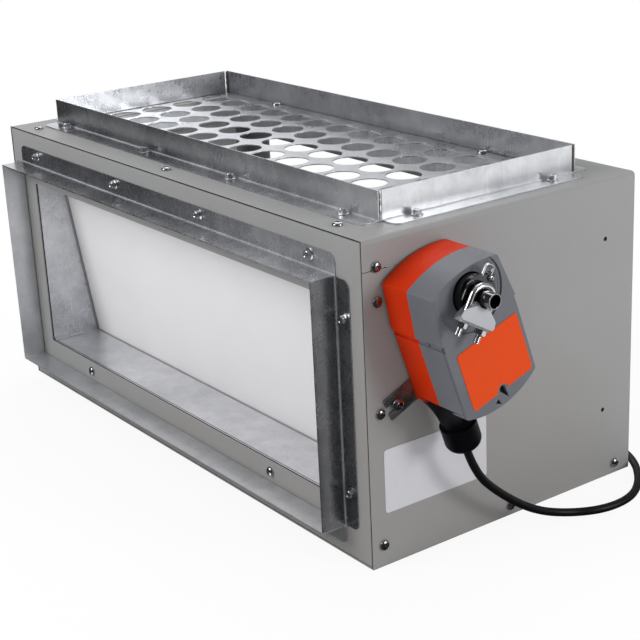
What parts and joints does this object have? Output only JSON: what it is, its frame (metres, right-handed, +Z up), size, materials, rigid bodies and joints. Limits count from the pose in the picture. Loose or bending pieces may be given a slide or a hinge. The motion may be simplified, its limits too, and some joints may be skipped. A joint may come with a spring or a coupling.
{
  "type": "motorised bypass damper",
  "caption": "Motorised bypass damper box: ducted front and perforated top openings in turn closed by one insulated blade that a side actuator swings.",
  "frame": {"origin": "centre of the casing's bottom face", "axes": "+X along the casing towards the actuator's side, -Y out of the front duct collar, +Z up, out of the top duct collar"},
  "size_m": [0.6915, 0.4214, 0.3],
  "materials": {
    "casing_paint": "semi-matt warm light grey paint",
    "galvanised": "bright spangled zinc",
    "blade_paint": "white paint",
    "lining_foam": "matt",
    "gasket_foam": "matt",
    "bright_steel": "polished zinc plate",
    "dark_steel": "blackened",
    "actuator_orange": "fine satin",
    "actuator_grey": "fine satin",
    "label_orange": "matt",
    "pointer_grey": "matt",
    "black_plastic": "matt",
    "hub_black": "glossy",
    "bush_plastic": "matt",
    "white_label": "satin",
    "cable_jacket": "satin black",
    "copper": "bare copper"
  },
  "bodies": {
    "casing": {"cabinet_wrap": "casing_paint", "front_panel": "casing_paint", "rear_panel": "casing_paint", "bottom_pan": "casing_paint", "insulation_left": "lining_foam", "insulation_right": "lining_foam", "insulation_floor": "lining_foam", "front_seat_shelf": "galvanised", "front_seat_head": "galvanised", "front_seat_cheek_left": "galvanised", "front_seat_cheek_right": "galvanised", "front_gasket": "gasket_foam", "top_seat_front": "galvanised", "top_seat_back": "galvanised", "top_seat_left": "galvanised", "top_seat_right": "galvanised", "top_gasket": "gasket_foam", "perforated_plate": "galvanised", "front_collar_top": "galvanised", "front_collar_bottom": "galvanised", "front_collar_left": "galvanised", "front_collar_right": "galvanised", "top_collar_front": "galvanised", "top_collar_back": "galvanised", "top_collar_left": "galvanised", "top_collar_right": "galvanised", "shaft_bush_left": "bush_plastic", "shaft_bush_right": "bush_plastic", "actuator_base": "actuator_orange", "actuator_cover": "actuator_grey", "actuator_label": "label_orange", "conduit_fitting": "black_plastic", "gland_nut": "black_plastic", "anti_rotation_strap": "dark_steel", "strap_screw": "bright_steel", "nameplate": "white_label", "front_collar_screws": "bright_steel", "top_collar_screws": "bright_steel", "plate_screws": "bright_steel", "throat_screws": "bright_steel", "casing_screws_right": "bright_steel", "casing_screws_left": "bright_steel", "casing_screws_top": "bright_steel", "cable_lead": "cable_jacket", "cable_coil": "cable_jacket", "cable_tails": "copper"},
    "blade": {"blade_front_skin": "blade_paint", "blade_core": "lining_foam", "blade_rear_skin": "blade_paint", "blade_shaft": "bright_steel", "blade_screws": "bright_steel", "actuator_hub": "hub_black", "hub_clip": "bright_steel", "clip_screw": "bright_steel", "clamp_saddle": "dark_steel", "clamp_u_bolt": "bright_steel", "clamp_nuts": "bright_steel", "position_plate": "pointer_grey"}
  },
  "joints": [
    {"name": "blade_swing", "type": "hinge", "parent": "casing", "child": "blade", "pos_m": [0, -0.094, 0.237], "axis": [1, 0, 0], "range_deg": [0, 82], "stiffness_Nm_per_rad": 1, "springref_deg": -68.75}
  ]
}
